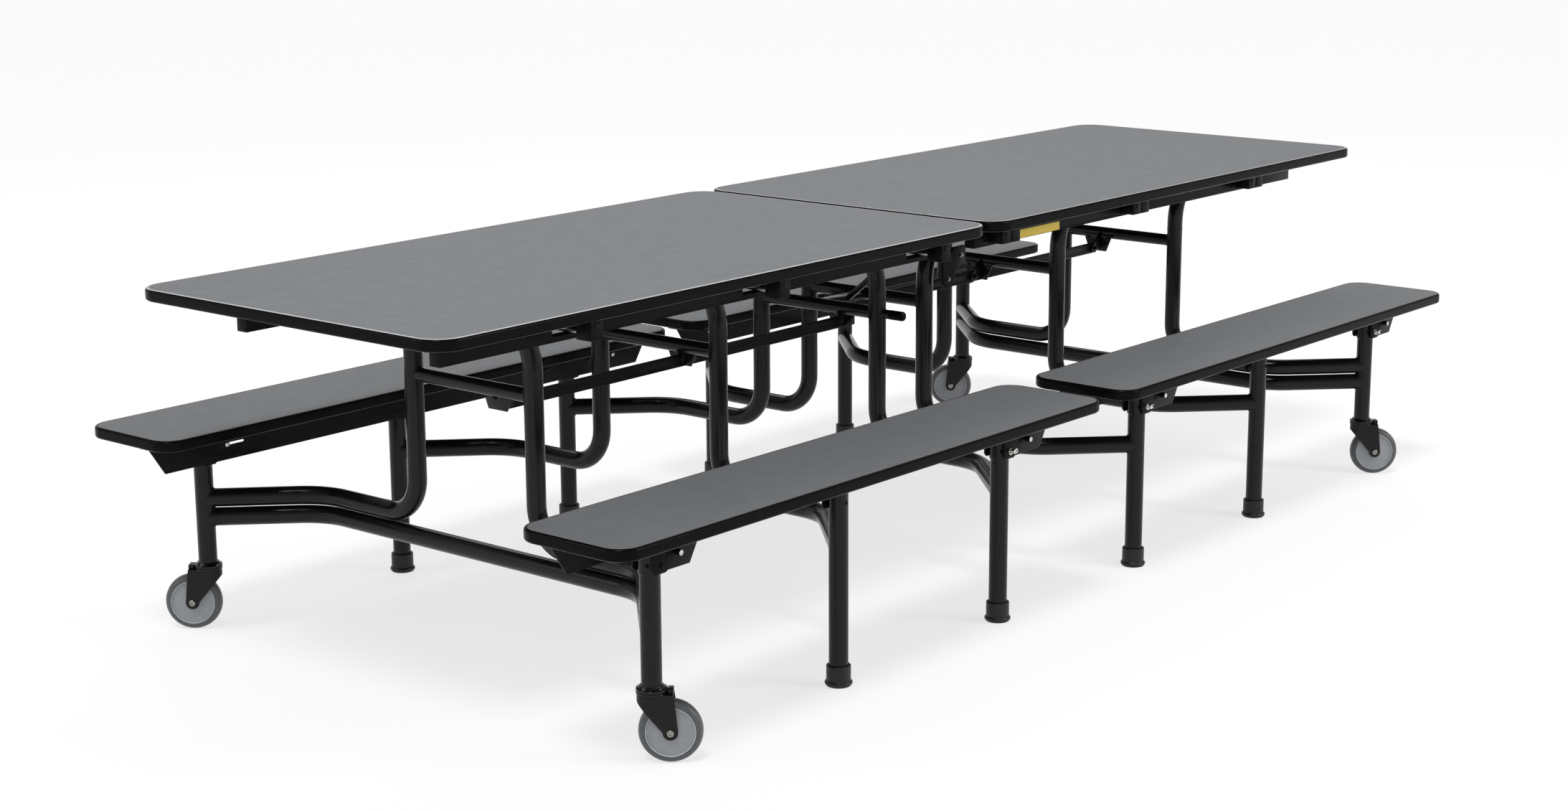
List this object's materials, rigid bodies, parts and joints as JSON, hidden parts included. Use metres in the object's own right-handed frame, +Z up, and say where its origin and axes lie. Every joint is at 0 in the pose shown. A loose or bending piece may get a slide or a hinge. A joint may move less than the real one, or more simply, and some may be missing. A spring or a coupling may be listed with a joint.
{
  "type": "cafeteria folding table",
  "caption": "Long folding cafeteria table with bench seats on a bent tube frame, rolling on swivel casters and standing on plastic glides, hinged in the middle to fold upright.",
  "frame": {"origin": "on the floor, midway along and across the open table", "axes": "+X along the table to the right leaf, -Y to the front bench nearest the camera, +Z up"},
  "size_m": [3.048, 1.394, 0.737],
  "materials": {
    "laminate": "mottled grey laminate, low sheen",
    "seat_board": "mottled grey laminate with a black edge",
    "edge": "black satin bullnose",
    "frame": "satin black powder coat",
    "zinc": "zinc plated",
    "glide": "moulded black plastic",
    "fork": "gloss black",
    "wheel": "grey non-marking tread and hub"
  },
  "bodies": {
    "left_top": {"left_top_panel": "laminate", "left_top_edge": "edge", "left_front_rail": "frame", "left_rear_rail": "frame", "left_center_pivot_rod": "zinc", "left_mid_pivot_rod": "zinc", "left_end_pivot_rod": "zinc"},
    "left_front_bench": {"left_front_seat": "seat_board", "left_front_bench_channel": "frame"},
    "left_rear_bench": {"left_rear_seat": "seat_board", "left_rear_bench_channel": "frame"},
    "left_link": {"left_link_bar": "frame"},
    "left_end_frame": {"left_end_front_leg": "frame", "left_end_rear_leg": "frame", "left_end_cross_tube": "frame", "left_end_lower_tube": "frame"},
    "left_mid_frame": {"left_mid_front_leg": "frame", "left_mid_rear_leg": "frame", "left_mid_cross_tube": "frame", "left_mid_front_glide": "glide", "left_mid_rear_glide": "glide"},
    "left_front_caster": {"left_front_caster_fork": "fork"},
    "left_front_wheel": {"left_front_caster_wheel": "wheel"},
    "left_rear_caster": {"left_rear_caster_fork": "fork"},
    "left_rear_wheel": {"left_rear_caster_wheel": "wheel"},
    "right_top": {"right_top_panel": "laminate", "right_top_edge": "edge", "right_front_rail": "frame", "right_rear_rail": "frame", "right_center_pivot_rod": "zinc", "right_mid_pivot_rod": "zinc", "right_end_pivot_rod": "zinc"},
    "right_front_bench": {"right_front_seat": "seat_board", "right_front_bench_channel": "frame"},
    "right_rear_bench": {"right_rear_seat": "seat_board", "right_rear_bench_channel": "frame"},
    "right_link": {"right_link_bar": "frame"},
    "right_end_frame": {"right_end_front_leg": "frame", "right_end_rear_leg": "frame", "right_end_cross_tube": "frame", "right_end_lower_tube": "frame"},
    "right_mid_frame": {"right_mid_front_leg": "frame", "right_mid_rear_leg": "frame", "right_mid_cross_tube": "frame", "right_mid_front_glide": "glide", "right_mid_rear_glide": "glide"},
    "right_front_caster": {"right_front_caster_fork": "fork"},
    "right_front_wheel": {"right_front_caster_wheel": "wheel"},
    "right_rear_caster": {"right_rear_caster_fork": "fork"},
    "right_rear_wheel": {"right_rear_caster_wheel": "wheel"},
    "center_frame": {"left_center_front_leg": "frame", "left_center_rear_leg": "frame", "right_center_front_leg": "frame", "right_center_rear_leg": "frame", "left_center_front_glide": "glide", "left_center_rear_glide": "glide", "right_center_front_glide": "glide", "right_center_rear_glide": "glide", "center_cross_frame": "frame"},
    "center_latch": {"center_latch": "frame"}
  },
  "joints": [
    {"name": "fold", "type": "hinge", "parent": "left_end_frame", "child": "left_top", "pos_m": [-1.144, 0, 0.69], "axis": [0, -1, 0], "range_deg": [0, 88]},
    {"name": "left_mid_pivot", "type": "hinge", "parent": "left_top", "child": "left_mid_frame", "pos_m": [-0.644, 0, 0.69], "axis": [0, -1, 0], "range_deg": [-88, 0]},
    {"name": "center_pivot", "type": "hinge", "parent": "left_top", "child": "center_frame", "pos_m": [-0.144, 0, 0.69], "axis": [0, -1, 0], "range_deg": [-88, 0]},
    {"name": "right_top_pivot", "type": "hinge", "parent": "center_frame", "child": "right_top", "pos_m": [0.144, 0, 0.69], "axis": [0, -1, 0], "range_deg": [-88, 0]},
    {"name": "right_mid_pivot", "type": "hinge", "parent": "right_top", "child": "right_mid_frame", "pos_m": [0.644, 0, 0.69], "axis": [0, -1, 0], "range_deg": [0, 88]},
    {"name": "right_end_pivot", "type": "hinge", "parent": "right_top", "child": "right_end_frame", "pos_m": [1.144, 0, 0.69], "axis": [0, -1, 0], "range_deg": [0, 88]},
    {"name": "left_front_bench_pivot", "type": "hinge", "parent": "left_end_frame", "child": "left_front_bench", "pos_m": [-1.246, -0.585, 0.346], "axis": [0, -1, 0], "range_deg": [0, 88]},
    {"name": "left_rear_bench_pivot", "type": "hinge", "parent": "left_end_frame", "child": "left_rear_bench", "pos_m": [-1.246, 0.585, 0.346], "axis": [0, -1, 0], "range_deg": [0, 88]},
    {"name": "left_link_pivot", "type": "hinge", "parent": "left_end_frame", "child": "left_link", "pos_m": [-1.039, -0.05, 0.505], "axis": [0, -1, 0], "range_deg": [0, 88]},
    {"name": "right_front_bench_pivot", "type": "hinge", "parent": "right_end_frame", "child": "right_front_bench", "pos_m": [1.246, -0.585, 0.346], "axis": [0, -1, 0], "range_deg": [-88, 0]},
    {"name": "right_rear_bench_pivot", "type": "hinge", "parent": "right_end_frame", "child": "right_rear_bench", "pos_m": [1.246, 0.585, 0.346], "axis": [0, -1, 0], "range_deg": [-88, 0]},
    {"name": "right_link_pivot", "type": "hinge", "parent": "right_end_frame", "child": "right_link", "pos_m": [1.039, 0.05, 0.505], "axis": [0, -1, 0], "range_deg": [-88, 0]},
    {"name": "left_front_swivel", "type": "hinge", "parent": "left_end_frame", "child": "left_front_caster", "pos_m": [-1.246, -0.585, 0.135], "axis": [0, 0, 1], "continuous": true},
    {"name": "left_front_wheel_spin", "type": "hinge", "parent": "left_front_caster", "child": "left_front_wheel", "pos_m": [-1.22632, -0.60896, 0.055], "axis": [0.7727, 0.6347, 0], "continuous": true},
    {"name": "left_rear_swivel", "type": "hinge", "parent": "left_end_frame", "child": "left_rear_caster", "pos_m": [-1.246, 0.585, 0.135], "axis": [0, 0, 1], "continuous": true},
    {"name": "left_rear_wheel_spin", "type": "hinge", "parent": "left_rear_caster", "child": "left_rear_wheel", "pos_m": [-1.26568, 0.60896, 0.055], "axis": [0.7727, 0.6347, 0], "continuous": true},
    {"name": "right_front_swivel", "type": "hinge", "parent": "right_end_frame", "child": "right_front_caster", "pos_m": [1.246, -0.585, 0.135], "axis": [0, 0, 1], "continuous": true},
    {"name": "right_front_wheel_spin", "type": "hinge", "parent": "right_front_caster", "child": "right_front_wheel", "pos_m": [1.26568, -0.60896, 0.055], "axis": [0.7727, 0.6347, 0], "continuous": true},
    {"name": "right_rear_swivel", "type": "hinge", "parent": "right_end_frame", "child": "right_rear_caster", "pos_m": [1.246, 0.585, 0.135], "axis": [0, 0, 1], "continuous": true},
    {"name": "right_rear_wheel_spin", "type": "hinge", "parent": "right_rear_caster", "child": "right_rear_wheel", "pos_m": [1.22632, 0.60896, 0.055], "axis": [0.7727, 0.6347, 0], "continuous": true},
    {"name": "center_latch_pivot", "type": "hinge", "parent": "center_frame", "child": "center_latch", "pos_m": [0.096, -0.207, 0.589], "axis": [0, -1, 0], "range_deg": [0, 30]}
  ],
  "couplings": [
    {"joint": "left_mid_pivot", "follows": "fold", "ratio": -1},
    {"joint": "center_pivot", "follows": "fold", "ratio": -1},
    {"joint": "right_top_pivot", "follows": "fold", "ratio": -1},
    {"joint": "right_mid_pivot", "follows": "fold", "ratio": 1},
    {"joint": "right_end_pivot", "follows": "fold", "ratio": 1},
    {"joint": "left_front_bench_pivot", "follows": "fold", "ratio": 1},
    {"joint": "left_rear_bench_pivot", "follows": "fold", "ratio": 1},
    {"joint": "left_link_pivot", "follows": "fold", "ratio": 1},
    {"joint": "right_front_bench_pivot", "follows": "fold", "ratio": -1},
    {"joint": "right_rear_bench_pivot", "follows": "fold", "ratio": -1},
    {"joint": "right_link_pivot", "follows": "fold", "ratio": -1}
  ]
}
